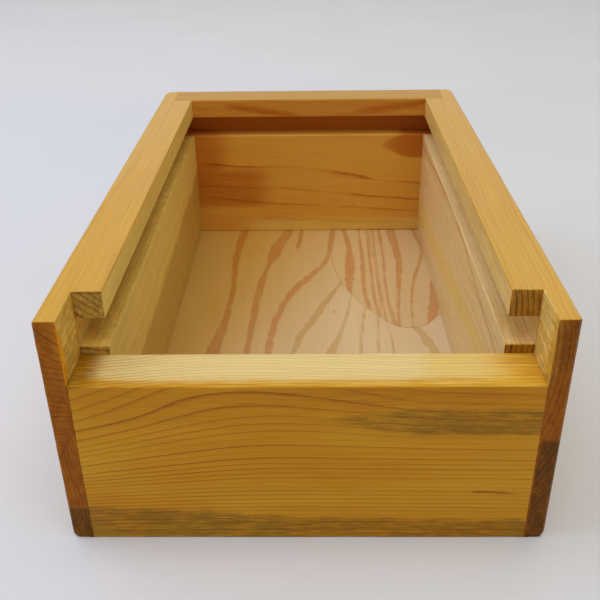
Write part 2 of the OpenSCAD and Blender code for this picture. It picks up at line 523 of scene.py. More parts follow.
def plain_ply(name, early, late, axis):
    """Hidden or underside plies: a ring pattern worked out from position alone."""
    n = Nodes(name, axis)
    fibre = n.grain(1.2, 0.02, 3, 0.6)
    broad = n.grain(0.022, 0.006, 1, 0.4, 0.6)
    part = n.math("FRACT", n.times_plus(fibre, 0.10, n.times(broad, 14.0)))
    band = n.curve(part, ((0.0, 0.0), (0.45, 0.05), (0.72, 0.55), (0.84, 1.0), (0.93, 0.9), (1.0, 0.0)))
    colour = n.mix(n.times(band, 0.7), linear(early), linear(late))
    colour = n.mix(n.remap(fibre, 0.3, 0.7, 0.0, 0.25), colour, linear("#7d5a32"))
    rough = n.times_plus(fibre, 0.2, 0.45)
    bumped = n.bump(n.times_plus(band, 0.5, fibre), 0.35, 0.00015)
    return n.finish(Base_Color=colour, Roughness=rough, Normal=bumped)


def steel(name):
    """Dull wire steel with a little brown rust."""
    n = Nodes(name)
    grime = n.noise((1.4, 1.4, 1.4), 4, 0.65)
    colour = n.mix(n.remap(grime, 0.42, 0.62), linear("#6f6c67"), linear("#5a3a22"))
    rough = n.remap(grime, 0.3, 0.7, 0.35, 0.75)
    metal = n.remap(grime, 0.45, 0.62, 1.0, 0.25)
    bumped = n.bump(grime, 0.3, 0.0001)
    return n.finish(Base_Color=colour, Roughness=rough, Metallic=metal, Normal=bumped)


def paper(name):
    """The pale sheet under and behind the box, with painted light in its colour: bluer on the left, under
    the bluish window light, and a little brighter far behind.
    """
    n = Nodes(name)
    split = n.add("ShaderNodeSeparateXYZ")
    n.feed(split.inputs[0], n.position)
    # Painted light: bluer on the left, where the bluish window light falls
    side = n.remap(split.outputs["X"], -400, 400)
    colour = n.mix(side, (0.73, 0.75, 0.85), (0.76, 0.77, 0.79))
    # Painted light: a little brighter far behind the box
    far = n.remap(split.outputs["Y"], 350, 700)
    colour = n.mix(far, colour, (0.79, 0.785, 0.83))
    mottled = n.noise((0.009, 0.009, 0.009), 3, 0.5)
    colour = n.mix(n.remap(mottled, 0.3, 0.7, 0.0, 0.10), colour, (0.62, 0.61, 0.64))
    return n.finish(Base_Color=colour, Roughness=0.75, Specular_IOR_Level=0.25)


# ---- Boards ----


def near(value, place, reach):
    return np.abs(value - place) < reach


# Extra grid lines beside each edge, so that worn edges and corners come out round
EDGE_STEPS = (0.15, 0.4, 0.9, 1.6, 2.4, 3.2, 4.2, 5.2)
BACK_CORNER_R = 5
LOWER_EDGE_R = 3
# Radii of the eased edges, before wear
WIDEST_EDGE = 0.95                # also the most that wear may bring
CHEEK_EDGE = 0.7
LONG_EDGE = 0.6
INNER_EDGE = 0.22
TIGHT_EDGE = 0.12                 # along a closed joint


def side_board(name, sign, front_radius):
    """A side board, built for the right (sign 1) and mirrored for the left (sign -1)."""
    boxes = [
        ((CHEEK_X, -HALF_L, 0), (HALF_W, HALF_L, BOX_H)),
        ((CAVITY_X, -CAVITY_Y, GROOVE_HIGH), (HALF_W, CAVITY_Y, BOX_H)),
        ((CAVITY_X, -CAVITY_Y, FLOOR_Z), (HALF_W, CAVITY_Y, GROOVE_LOW)),
        ((RABBET_X, -CAVITY_Y, 0), (HALF_W, CAVITY_Y, GROOVE_LOW)),
    ]
    lines = [
        grid_lines([CAVITY_X, RABBET_X, CHEEK_X, HALF_W], 1.2, EDGE_STEPS),
        grid_lines([-HALF_L, -CAVITY_Y, CAVITY_Y, HALF_L], 3.0, EDGE_STEPS),
        grid_lines([0, FLOOR_Z, GROOVE_LOW, GROOVE_HIGH, BOX_H], 1.6, EDGE_STEPS),
    ]
    points, faces = joined_boxes(boxes, lines)
    x, y, z = points.T
    radius = np.full(len(points), INNER_EDGE)
    radius[z > BOX_H - 2] = LONG_EDGE
    radius[x > HALF_W - 2] = WIDEST_EDGE
    radius[z < 2] = LONG_EDGE
    wear = 1 + 0.25 * wander(y + 3 * z, 70, 1 + sign) + 0.15 * wander(y - 2 * z, 19, 3)
    radius *= np.clip(wear, 0.5, 1.5)
    free_cheek = (y < -CAVITY_Y) & (x < CHEEK_X + 2) & (z > FRONT_H + 1)
    radius[free_cheek] = CHEEK_EDGE
    jointed = near(x, CHEEK_X, 2) & (y < -CAVITY_Y + 2) & (z < FRONT_H)
    jointed |= near(x, CHEEK_X, 2) & (y > CAVITY_Y - 2)
    jointed |= (y > CAVITY_Y - 2) & (x < CHEEK_X + 2)
    radius[jointed] = TIGHT_EDGE
    points = eased(points, boxes, np.minimum(radius, WIDEST_EDGE))
    round_corner(points, [0, 1], (HALF_W, HALF_L), (1, 1), BACK_CORNER_R)
    round_corner(points, [0, 1], (HALF_W, -HALF_L), (1, -1), front_radius)
    round_corner(points, [0, 2], (HALF_W, 0), (1, -1), LOWER_EDGE_R)
    if sign < 0:
        points[:, 0] *= -1
        faces = faces[:, ::-1]
    return new_object(name, points, faces.tolist())


PITCH_Z = 22.9                    # height of a short dark pitch streak on the front


def front_board(name):
    """The low board at the mouth, with a rabbet for the plywood bottom."""
    boxes = [
        ((-CHEEK_X, -HALF_L, 0), (CHEEK_X, -RABBET_Y, FRONT_H)),
        ((-CHEEK_X, -HALF_L, FLOOR_Z), (CHEEK_X, -CAVITY_Y, FRONT_H)),
    ]
    lines = [
        grid_lines([-CHEEK_X, CHEEK_X], 2.0),
        grid_lines([-HALF_L, -RABBET_Y, -CAVITY_Y], 1.5),
        grid_lines([0, FLOOR_Z, PITCH_Z, FRONT_H], 1.6, (0.3, 0.6, 0.9)),
    ]
    points, faces = joined_boxes(boxes, lines)
    x, y, z = points.T
    radius = 0.5 + 0.15 * wander(x + y, 60, 5)
    radius[(z > FRONT_H - 2) & (y < -HALF_L + 2)] += 0.35
    radius[near(np.abs(x), CHEEK_X, 2)] = TIGHT_EDGE
    radius[near(np.abs(x), CHEEK_X, 2) & (z > FRONT_H - 3)] = INNER_EDGE
    points = eased(points, boxes, np.clip(radius, 0.1, WIDEST_EDGE))
    # The left end stops a little short of its cheek, most of all near the top
    x, y, z = points.T
    gap = 0.20 * ramp(40, 66, z) + 0.08 * wander(z, 9, 2) * ramp(35, 45, z)
    gap = np.maximum(gap, 0) * ramp(-HALF_L + 12, -HALF_L, y)
    points[:, 0] += gap * ramp(-CHEEK_X + 3, -CHEEK_X, x)
    return new_object(name, points, faces.tolist())


def back_board(name):
    """The full-height board, with the lid groove across its inner face."""
    boxes = [
        ((-CHEEK_X, GROOVE_Y, 0), (CHEEK_X, HALF_L, BOX_H)),
        ((-CHEEK_X, CAVITY_Y, GROOVE_HIGH), (CHEEK_X, HALF_L, BOX_H)),
        ((-CHEEK_X, CAVITY_Y, FLOOR_Z), (CHEEK_X, HALF_L, GROOVE_LOW)),
        ((-CHEEK_X, RABBET_Y, 0), (CHEEK_X, HALF_L, GROOVE_LOW)),
    ]
    lines = [
        grid_lines([-CHEEK_X, CHEEK_X], 2.0),
        grid_lines([CAVITY_Y, RABBET_Y, GROOVE_Y, HALF_L], 2.0),
        grid_lines([0, FLOOR_Z, GROOVE_LOW, GROOVE_HIGH, BOX_H], 1.0),
    ]
    points, faces = joined_boxes(boxes, lines)
    x, y, z = points.T
    radius = 0.5 + 0.12 * wander(x + y, 60, 8)
    radius[near(z, GROOVE_LOW, 2) | near(z, GROOVE_HIGH, 2)] = 0.4
    # Towards the right a dark crevice opens where this board meets the floor
    at_floor = near(z, FLOOR_Z, 2) & (y < CAVITY_Y + 2)
    radius[at_floor] = 0.4 + 0.55 * ramp(-20, 60, x[at_floor])
    radius[near(np.abs(x), CHEEK_X, 2)] = TIGHT_EDGE
    points = eased(points, boxes, np.clip(radius, 0.1, WIDEST_EDGE))
    return new_object(name, points, faces.tolist())


def set_fields(obj, **values):
    """Stores every field the pine material reads; the ones left out are zero."""
    count = len(obj.data.vertices)
    for key in ("ring", "line", "stain", "red", "pale", "gold", "relief", "bare", "sawn"):
        set_field(obj, key, np.broadcast_to(values.get(key, 0.0), count))


def ring_right(p):
    """Rings of the right board: nearly round, about a pith inside the cavity."""
    x, y, z = p.T
    pith_x = -12 + 0.02 * y
    pith_z = 84 + 5 * wander(y, 420, 4)
    return np.hypot(x - pith_x, z - pith_z) / 2.05 + 0.25 * wander(y, 150, 2)


def crotch_height(x):
    """Height on the left board where its steep lower grain meets the upper grain."""
    return 54 + 1.75 * (x + 84)


def ring_left(p):
    """Rings of the left board: steep lower grain under a crotch, and sloping grain above."""
    x, y, z = p.T
    x = x - 0.045 * (y + HALF_L) * ramp(60, 90, z)
    curves = [
        (0, [(-115, 46), (-92, 46), (-84, 46), (-73, 46)]),
        (3, [(-115, 52), (-92, 53), (-84, 54.5), (-73, 56)]),
        (7, [(-115, 70), (-92, 66.2), (-84, 64.4), (-73, 63)]),
        (11, [(-115, 86), (-92, 80), (-84, 78.4), (-73, 77)]),
        (13, [(-115, 104), (-92, 88), (-84, 82), (-73, 80)]),
        (15, [(-115, 120), (-92, 98.5), (-84, 90), (-73, 83)]),
        (19, [(-115, 135), (-92, 113), (-84, 104), (-73, 94)]),
        (24, [(-115, 155), (-92, 131), (-84, 121), (-73, 112)]),
    ]
    upper = ring_phase(x, z, curves)
    lower = (x + 92) / 1.5 + 0.05 * (z - 20) + 0.10 * (z - 20) * ramp(-85, -76, x)
    crotch = crotch_height(x)
    share = ramp(crotch - 0.5, crotch + 0.5, z)
    upper += 0.4 * np.minimum(upper, 13)
    return lower + (upper - lower) * share + 0.2 * wander(y, 170, 6)


def ring_front(p):
    """Rings of the front board: dense flat rings below, and a few that arch near the top."""
    x, y, z = p.T
    stations = (-84, -62, -45, -30, -13, 5, 40, 84)
    heights = (
        (0, (2, 2.2, 2.4, 2.5, 2.6, 2.6, 2.5, 2.3)),
        (8, (16, 17, 17.6, 18, 18.2, 18.2, 18, 17.6)),
        (12, (22.5, 24, 25.2, 26, 26.5, 26.4, 26, 25.5)),
        (17, (30.5, 33, 35, 36.7, 37.8, 37.6, 37, 36.5)),
        (20, (36, 40, 43, 45.2, 46.5, 46, 44.5, 44)),
        (24, (44.7, 50.5, 55, 58.5, 60, 59, 55, 54)),
        (25, (48.3, 54, 60, 64, 64.7, 62.7, 58.5, 57)),
        (26, (53, 58.6, 67, 70.2, 70.1, 67.7, 61.5, 60.6)),
        (27, (57, 66, 74, 77, 76, 73, 65.5, 64.5)),
        (28, (62, 70, 80, 83, 82, 79, 70, 68.5)),
        (31, (76, 84, 95, 98, 97, 94, 85, 84)),
    )
    curves = [(n, list(zip(stations, row))) for n, row in heights]
    return ring_phase(x, z, curves) + (y + HALF_L) / 1.9


def ring_back(p):
    """Rings of the back board: a few wide ones that sink gently to the right."""
    x, y, z = p.T
    curves = [
        (0, [(-84, -6), (84, -8)]),
        (1, [(-84, 25), (-31, 22.5), (2, 19.5), (84, 16)]),
        (2, [(-84, 37), (-63, 34.3), (-42, 31.8), (-20, 30), (13, 28.4), (30, 27.6), (52, 24.6),
             (84, 24)]),
        (3, [(-84, 43), (-52, 42), (-36, 40.6), (-17, 41), (2, 38.5), (35, 35.4), (57, 34), (84, 31)]),
        (4, [(-84, 60), (-64, 58), (-41, 55), (-19, 56), (-2, 54), (30, 50), (46, 47), (84, 43)]),
        (5, [(-84, 84), (-40, 82), (0, 80), (50, 78), (84, 76)]),
        (6, [(-84, 95), (-40, 93), (0, 88), (50, 92), (84, 101)]),
        (7, [(-84, 104), (0, 104), (84, 112)]),
    ]
    return ring_phase(x, z, curves) + (y - CAVITY_Y) / 2.6


left = side_board("left_side_board", -1, 0.5)
right = side_board("right_side_board", 1, 1.5)
front = front_board("front_mouth_board")
back = back_board("back_end_board")

PIT_R = 1.3                       # the brad heads sit in pits of their own radius


def brad_heads():
    """The middles of the corner brads' heads, read from the CAD brads."""
    co = points_of(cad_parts["corner_brads"])
    groups = []
    for point in co[np.abs(co[:, 0]) > HALF_W - 1]:
        for group in groups:
            if np.linalg.norm(point - group[0]) < 2 * PIT_R + 0.5:
                group.append(point)
                break
        else:
            groups.append([point])
    return [np.mean(group, axis=0) for group in groups]


PIT_SIDES = 20


def pits(spots):
    """One cutter with a short round pin at each brad head."""
    turn = np.arange(PIT_SIDES) * 2 * math.pi / PIT_SIDES
    points, faces = [], []
    for x, y, z in spots:
        side = np.sign(x)
        inner = [len(points) + i for i in range(PIT_SIDES)]
        outer = [i + PIT_SIDES for i in inner]
        for depth in (abs(x) - 1.0, HALF_W + 1):
            points += [(side * depth, y + PIT_R * math.cos(a), z + PIT_R * math.sin(a)) for a in turn]
        pin = [inner[::-1], outer]
        pin += [[inner[i - 1], inner[i], outer[i], outer[i - 1]] for i in range(PIT_SIDES)]
        faces += pin if side > 0 else [face[::-1] for face in pin]
    return new_object("pits", np.array(points), faces)


for piece, node, slot in (
    (left, "left_side", "left_side_pine"),
    (right, "right_side", "right_side_pine"),
    (front, "front_board", "front_board_pine"),
    (back, "back_board", "back_board_pine"),
):
    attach(piece, "root")
    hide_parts(node)

heads = brad_heads()
for piece, side in ((left, -1), (right, 1)):
    cut(piece, pits([spot for spot in heads if spot[0] * side > 0]))
for piece in (left, right, front, back):
    shade(piece)

# Height of a brown streak on the right inner wall, at places along it
RIGHT_STREAK = (
    (-130, 63.5), (-100, 65), (-80, 67.5), (-64, 68.7), (-42, 73), (-10, 75.2), (10, 75.2),
    (40, 74), (60, 72.6), (90, 70.6), (130, 68)
)
# Short red streaks and a pin knot on the back's inner face: x, z, half length, half height
BACK_MARKS = ((-21, 60.4, 7, 0.9), (-6, 65, 2, 0.9), (16, 31.2, 6, 0.8), (29, 27.6, 2, 1.1))


def side_zones(p, sign):
    """Masks over a side board: cut shoulders, inner wall, lid groove, top and free cheek."""
    x, y, z = p[:, 0] * sign, p[:, 1], p[:, 2]
    shoulder = ramp(0.7, 0.2, np.abs(y + CAVITY_Y))
    shoulder *= ramp(CHEEK_X + 0.3, CHEEK_X - 0.3, x)
    top = ramp(BOX_H - 0.9, BOX_H - 0.2, z)
    inner = ramp(CHEEK_X + 1.5, CHEEK_X + 0.3, x) * (1 - top)
    inner *= ramp(-CAVITY_Y + 0.2, -CAVITY_Y + 0.8, y)
    groove = inner * ramp(GROOVE_LOW - 0.5, GROOVE_LOW, z)
    groove *= ramp(GROOVE_HIGH + 0.5, GROOVE_HIGH, z)
    cheek = ramp(CHEEK_X + 1.0, CHEEK_X + 0.2, x)
    cheek *= ramp(-CAVITY_Y, -CAVITY_Y - 0.6, y)
    cheek *= ramp(-HALF_L + 0.1, -HALF_L + 0.7, y)
    return shoulder, inner, groove, top, cheek


def left_fields(piece):
    p = points_of(piece)
    x, y, z = p.T
    shoulder, inner, groove, top, cheek = side_zones(p, -1)
    end_face = y < -HALF_L + 1
    # The lower part of the inner wall is darker, with a wavy upper edge
    dusky = ramp(49, 40, z - 0.045 * (y + 65) - 1.5 * wander(y, 60, 1)) * inner
    fork = ridge(z - crotch_height(x) + 1.0, 2.0) * (x < -84.5) * (y < -140)
    # Amber lacquer along the cheek's front edge, on the cheek and on the end face
    hem = ramp(-HALF_L + 7, -HALF_L + 1, y + 0.1 * (z - 85)) * cheek
    edge = ramp(-87, -84.6, x) * ramp(68, 76, z) * end_face
    # The end face is stained dark at the foot
    foot = ramp(16.5, 14.5, z) * end_face
    # The lid groove is painted less pale and a little redder: partly its rough sawn wood, partly painted
    # shade under the strip
    pale_wall = inner * (1 - 0.15 * dusky) * (1 - 0.4 * groove)
    shoulder_rim = shoulder * ramp(97, 98, z)
    set_fields(
        piece, ring=ring_left(p), line=0.65 - 0.45 * top - 0.35 * inner - 0.6 * cheek,
        stain=0.97 * foot,
        red=strongest(0.62 * dusky, 0.6 * fork, 0.8 * shoulder_rim, 0.30 * groove),
        pale=strongest(0.85 * pale_wall, 0.42 * cheek, 0.55 * shoulder),
        gold=np.maximum(0.8 * hem * ramp(99, 90, z), 0.8 * edge) * (1 - top),
        bare=np.maximum(shoulder, 0.6 * edge),
        sawn=strongest(0.8 * cheek, 0.5 * groove, 0.2 * inner)
    )


def right_fields(piece):
    p = points_of(piece)
    x, y, z = p.T
    shoulder, inner, groove, top, cheek = side_zones(p, 1)
    end_face = y < -HALF_L + 1
    # The face of the strip above the groove
    lip = ramp(GROOVE_HIGH - 0.3, GROOVE_HIGH + 0.3, z)
    # A yellow band that sinks towards the back
    rise = z + 0.12 * (y + 30)
    yellow = ramp(32, 39, rise) * ramp(53, 46, rise) * inner
    # A brown streak, with a second strand under it in the back half
    from_streak = z - soft_curve(y, RIGHT_STREAK)
    brown_line = ridge(from_streak, 1.2)
    brown_line += 0.55 * ridge(from_streak + 3.4, 0.9) * ramp(-20, 20, y)
    brown_line *= 0.85 + 0.25 * ramp(0, 40, y) + 0.15 * wander(y, 45, 2)
    brown_line *= inner * (1 - 0.6 * groove)
    hem = ramp(-HALF_L + 8, -HALF_L + 1, y + 0.1 * (z - 85)) * cheek
    edge = ramp(87, 84.6, x) * ramp(66, 76, z) * end_face
    # Two dark upright bars and torn pale fibres on the cut shoulder
    bars = np.maximum(ridge(x - 75.6, 0.5), 0.8 * ridge(x - 80.2, 0.5)) * shoulder
    torn = ramp(96.4, 97.6, z + 0.8 * np.sin(1.3 * x)) * ramp(77, 79.5, x)
    torn = np.maximum(torn, 0.6 * ramp(1.9, 0.9, np.hypot(x - 81.7, z - 92)))
    # The end face is stained dark over its lower half, and along its outer edge above
    end_grain = end_face * (x > CHEEK_X + 0.5) * (1 - top)
    outer_stain = ramp(72, 80, z) * ramp(85, 87, x) * end_grain
    # Painted light and shade in the lid groove: it stays pale at the back, where light reaches it, and is
    # painted darker towards the front, where shade falls under the strip
    pale_wall = inner * (1 - 0.3 * ramp(30, 120, y) * (1 - groove)) * (1 - 0.3 * lip)
    pale_wall *= 1 - 0.4 * groove * ramp(-60, -110, y)
    set_fields(
        piece, ring=ring_right(p), line=0.65 - 0.1 * top - 0.35 * inner - 0.6 * cheek,
        stain=strongest(
            0.95 * ramp(50, 45, z) * end_grain, 0.45 * outer_stain,
            0.30 * inner * ramp(30, 20, z), 0.75 * bars
        ),
        red=strongest(0.85 * brown_line, 0.30 * shoulder * (1 - torn), 0.35 * hem * ramp(94, 82, z)),
        pale=np.maximum(0.95 * pale_wall, 0.42 * cheek * (1 - 0.6 * hem)),
        gold=strongest(
            0.6 * yellow, 0.42 * cheek * (1 - 0.7 * hem), 0.35 * torn * shoulder, 0.45 * lip * inner
        ),
        bare=np.maximum(shoulder, 0.6 * edge),
        sawn=strongest(0.8 * cheek, 0.2 * inner, 0.4 * torn * shoulder)
    )


def front_fields(piece):
    p = points_of(piece)
    x, y, z = p.T
    top = ramp(FRONT_H - 1.0, FRONT_H - 0.2, z)
    # A stained band at the upper right, which thins out and fades to the left
    reach = ramp(-4, 42, x)
    band = ramp(2.2, -2.2, np.abs(z - 56.8 + 0.8 * reach) - 1.0 - 4.9 * reach)
    band *= (0.45 + 0.55 * reach) * ramp(-10, 2, x) * (1 - top)
    # A stained band along the foot, higher on the left
    edge_z = np.interp(x, (-84, -42, 0, 84), (17, 14, 10.5, 9)) + 0.7 * wander(x, 23, 3)
    foot = ramp(edge_z + 2.6, edge_z - 2.6, z) * (0.84 - 0.16 * ramp(-40, -70, x))
    pitch = ridge(z - PITCH_Z - 0.4 * np.sin((x - 60) / 4), 0.8)
    pitch *= ramp(59, 64, x) * ramp(83, 73, x) * (y < -140)
    # The top is painted pale where a broad highlight falls on it (painted sheen), with dark ends and
    # stronger lines on its left third
    painted_sheen = 1 - 0.2 * ramp(32, 45, x) - 0.6 * ramp(60, 82, x)
    painted_sheen *= ramp(-88, -66, x) * ramp(-148, -138, y)
    amber = (0.34 + 0.18 * ramp(-40, 20, x)) * ramp(50, 66, z) * (1 - top)
    line = 0.85 + 0.45 * (1 - top) * ramp(20, -50, x)
    set_fields(
        piece, ring=ring_front(p), line=line + top * (0.7 * ramp(-35, -75, x) - 0.25),
        stain=strongest(0.82 * band, foot, 0.85 * top * ramp(-67, -84, x), 0.6 * pitch),
        red=strongest(0.9 * pitch, amber, 0.45 * top * ramp(78, 84, x)),
        pale=0.95 * top * painted_sheen,
        gold=top * np.maximum(0.40 * ramp(-134, -143, y), 0.48 * ramp(30, 48, x)),
        relief=1.5 * top * ramp(-10, -60, x)
    )


def back_fields(piece):
    p = points_of(piece)
    x, y, z = p.T
    facing = y < GROOVE_Y + 1
    top = ramp(BOX_H - 0.8, BOX_H - 0.2, z)
    strip = ramp(GROOVE_HIGH - 0.4, GROOVE_HIGH + 0.4, z) * (1 - top) * facing
    # The lid groove is painted dark red: partly its bare wood, partly painted shade under the strip
    groove = ramp(GROOVE_LOW - 0.2, GROOVE_LOW + 0.4, z) * (y > CAVITY_Y + 0.5) * facing
    groove *= ramp(GROOVE_HIGH + 0.2, GROOVE_HIGH - 0.4, z)
    # A red patch at the upper right
    patch_low = np.interp(x, (43, 57, 64, 84), (69, 62, 60, 59.5))
    patch_high = np.interp(x, (43, 52, 62, 84), (67, 74, 77, 78))
    patch_red = ramp(-2.5, 2.5, z - patch_low) * ramp(-2.5, 2.5, patch_high - z)
    patch_red *= (0.6 + 0.4 * ramp(46, 66, x)) * facing * (z < GROOVE_LOW + 0.3)
    # The left third is darker
    corner = ramp(-36, -64, x) * ramp(22, 44, z)
    left_third = ramp(-8, -40, x) * ramp(20, 30, z) * ramp(60, 48, z)
    corner = np.maximum(corner, left_third) * facing * (z < GROOVE_LOW + 0.2)
    # A red streak at each end of the strip above the groove
    streak_left = ridge(z - 94.5 + 0.14 * (x + 50), 1.6)
    streak_left *= ramp(-56, -44, x) * ramp(0, -25, x)
    streak_right = ridge(z - 91 - 0.13 * (x - 33), 1.6) * ramp(25, 42, x)
    streaks = np.maximum(streak_left, streak_right)
    # Two of the rings show more boldly
    ring = ring_back(p)
    bold = 0.8 * ridge(ring - 1.95, 0.3) + 0.4 * ridge(ring - 2.95, 0.3)
    marks = np.zeros(len(p))
    for mark_x, mark_z, length, height in BACK_MARKS:
        spot = ridge(((x - mark_x) / length) ** 2, 1.0) * ridge(z - mark_z, height)
        marks = np.maximum(marks, spot * facing)
    set_fields(
        piece, ring=ring,
        line=0.95 - 0.5 * ramp(26, 22, z) - 0.45 * top - 0.5 * strip + bold * facing,
        red=strongest(
            0.45 * marks, 0.85 * patch_red, 0.95 * groove, strip * (0.48 + 0.35 * streaks),
            0.62 * corner
        ),
        pale=0.75 * ramp(24, 14, z) * ramp(-70, -20, x) * facing,
        gold=0.9 * top
    )


left_fields(left)
right_fields(right)
front_fields(front)
back_fields(back)

left.data.materials.append(pine(
    "left_pine", 1, base=(0.65, 0.35, 0.036), drift=(0.67, 0.375, 0.05), late=(0.70, 0.54, 0.38),
    end=(0.66, 0.38, 0.04), stain=(0.37, 0.52, 1.1), red=(0.64, 0.55, 0.42), pale=(0.86, 0.66, 0.17),
    gold=(0.80, 0.34, 0.012)
))
right.data.materials.append(pine(
    "right_pine", 1, base=(0.65, 0.35, 0.036), drift=(0.67, 0.38, 0.05), late=(0.70, 0.52, 0.36),
    end=(0.60, 0.33, 0.04), stain=(0.41, 0.51, 1.0), red=(0.78, 0.52, 0.38), pale=(0.88, 0.66, 0.32),
    gold=(0.86, 0.64, 0.17)
))
# On this board the pale wash is the painted highlight on the top
front.data.materials.append(pine(
    "front_pine", 0, base=(0.60, 0.265, 0.006), drift=(0.66, 0.34, 0.016), late=(0.64, 0.48, 0.28),
    end=(0.5, 0.3, 0.2), stain=(0.55, 0.56, 0.70), red=(0.80, 0.60, 0.35), pale=(0.78, 0.60, 0.25),
    gold=(0.80, 0.51, 0.08), shine=0.14
))
back.data.materials.append(pine(
    "back_pine", 0, base=(0.74, 0.36, 0.050), drift=(0.74, 0.39, 0.06), late=(0.72, 0.46, 0.26),
    end=(0.5, 0.3, 0.2), stain=(0.58, 0.62, 0.60), red=(0.70, 0.42, 0.25), pale=(0.80, 0.54, 0.12),
    gold=(0.54, 0.27, 0.01), profile=WIDE_LATE_WOOD, broken=0.75, streaks=0.5, fray=0.4
))

# ---- Plywood bottom ----

# Dark bands of the face veneer: tone, then (y, x of its middle, half width) along it, mm
VENEER_BANDS = (
    (1.0, ((-134, -60, 1.8), (-60, -54, 3.0), (-27, -49.8, 3.5), (-12, -47.6, 2.6), (10, -45.6, 1.5),
           (36, -44.5, 1.4), (60, -45.6, 1.6), (85, -46.2, 1.8), (124, -43.8, 2.2), (134, -43, 2.4))),
    (0.95, ((-134, -40, 1.4), (-60, -33, 1.5), (-27, -31.8, 1.4), (14, -30.5, 1.8), (52, -28.3, 2.4),
            (62, -27.2, 1.2), (70, -25.5, -0.5), (75, -24.4, 2.2), (84, -23.3, 3.9), (100, -19.6, 3.9),
            (124, -14.0, 3.7), (134, -12, 3))),
    (1.0, ((92, -8.5, -0.6), (98, -7.6, 0.9), (112, -5.8, 1.8), (124, -5, 1.0), (134, -5, 0.6))),
    (0.95, ((-134, -30, 1.5), (-70, -23, 1.6), (-27, -21, 1.7), (0, -19.2, 1.6), (24, -15, 1.7),
            (48, -5.7, 2.6), (54, -1.5, 3.0), (64, 4.5, 2.0), (74, 10, 1.4), (88, 12.8, 1.2),
            (124, 15.4, 1.7))),
    (0.65, ((-134, -18, 1.0), (-60, -11, 1.5), (-27, -8, 1.6), (-15, -5.8, 1.5), (-2, -1, 1.8),
            (12, 4.5, 2.4), (31, 11.4, 1.6), (46, 18, 0.8), (70, 26, 1.0))),
    (0.8, ((10.5, 13.8, -0.6), (13, 13.9, 0.5), (15, 14, 0.7), (17.5, 14.2, -0.4))),
    (0.55, ((-134, 4, 0.6), (-60, 9, 1.5), (-27, 11.5, 2.6), (-20, 14, 1.8), (-8, 17.3, 1.0),
            (10, 21, 0.8), (30, 24, 0.5), (60, 30, 0.8))),
    (0.55, ((-134, 22, 0.8), (-60, 26, 0.9), (-27, 26.8, 0.8), (-10, 28, 0.8), (14, 31, 0.5),
            (60, 40, 0.8))),
    (0.55, ((-134, 33, 0.7), (-27, 36, 0.7), (-10, 37.2, 0.6), (9, 38.3, 0.4), (40, 41, 0.5))),
    (0.55, ((-134, 46, 0.6), (-27, 44, 0.5), (-14, 44, 0.5), (3, 42.4, 0.4), (40, 40, 0.4))),
    (0.6, ((-134, 75, 1.6), (-60, 70, 2.6), (-27, 65.5, 2.4), (-19, 62.8, 2.6), (-9, 61, 2.2),
           (-4, 57.7, 1.6), (10, 55, 1.2))),
)
# The same for the patch
PATCH_BANDS = (
    (1.0, ((-6, 24, -1), (38, 24, 0.8), (45, 24, 1.6), (60, 25, 2.8), (80, 25.8, 3.2),
           (92, 26, 1.6), (104, 25.5, 1.4), (134, 22, 1.0))),
    (0.9, ((-6, 36, 0.4), (16, 34.6, 0.8), (28, 33, 1.2), (46, 32.2, 1.2), (84, 33.7, 0.9),
           (134, 33, 0.5))),
    (1.0, ((-6, 40, 0.5), (35, 37.5, 0.7), (70, 38, 0.7), (134, 39, 0.7))),
    (1.0, ((-6, 43, 0.5), (35, 41.2, 0.7), (70, 41.6, 0.7), (134, 42.5, 0.7))),
    (1.0, ((-6, 47, 0.6), (18, 45.7, 0.8), (46, 45.3, 0.7), (84, 47, 0.8), (134, 46.6, 0.7))),
    (0.9, ((-6, 48.5, 0.7), (20, 50.5, 0.9), (46, 53.2, 1.3), (80, 56.8, 2.0), (100, 55.3, 2.4),
           (134, 54, 3.0))),
    (0.8, ((-6, 56, 0.5), (24, 58.3, 0.6), (54, 62.6, 0.8), (74, 69, 1.2), (94, 73, 1.2),
           (134, 69, 0.8))),
    (0.9, ((-6, 65, 1.5), (5, 67, 2.2), (28, 72, 3.0), (44, 73, 1.5), (60, 76, 1.0))),
)


def band_fields(x, y, bands):
    """Signed distance in mm inside the nearest band, that band's tone, and how far its edges may fray."""
    best = np.full(len(x), -20.0)
    tone = np.zeros(len(x))
    fray = np.ones(len(x))
    for strength, knots in bands:
        middle = soft_curve(y, [(k[0], k[1]) for k in knots])
        half = soft_curve(y, [(k[0], k[2]) for k in knots])
        outside = np.maximum(knots[0][0] - y, y - knots[-1][0])
        depth = np.minimum(half - np.abs(x - middle), -outside)
        better = depth > best
        best = np.where(better, depth, best)
        tone = np.where(better, strength, tone)
        fray = np.where(better, np.clip(half / 2.5, 0.15, 1.0), fray)
    return best, tone, fray


def slab(low, high):
    """A thin board: a dense top, plain sides and one flat underside."""
    xs, ys = (grid_lines([low[k], high[k]], 1.5, fine=()) for k in (0, 1))
    gx, gy = np.meshgrid(xs, ys, indexing="ij")
    top = np.stack([gx.ravel(), gy.ravel(), np.full(gx.size, high[2])], axis=1)
    nx, ny = len(xs), len(ys)
    ids = np.arange(nx * ny).reshape(nx, ny)
    faces = np.stack([ids[:-1, :-1], ids[1:, :-1], ids[1:, 1:], ids[:-1, 1:]], axis=-1).reshape(-1, 4)
    rim = np.concatenate([ids[:-1, 0], ids[-1, :-1], ids[:0:-1, -1], ids[0, :0:-1]])
    under = top[rim] * (1, 1, 0) + (0, 0, low[2])
    below = nx * ny + np.arange(len(rim))
    following = np.roll(np.arange(len(rim)), -1)
    sides = np.stack([rim, below, below[following], rim[following]], axis=1)
    return np.concatenate([top, under]), [*faces.tolist(), *sides.tolist(), below[::-1].tolist()]


# The patch's outline, repeated from the CAD: two long arcs with rounded ends
PATCH_X, PATCH_Y, PATCH_W, PATCH_SIDE_R, PATCH_END_R = 55, 85, 81, 130, 14


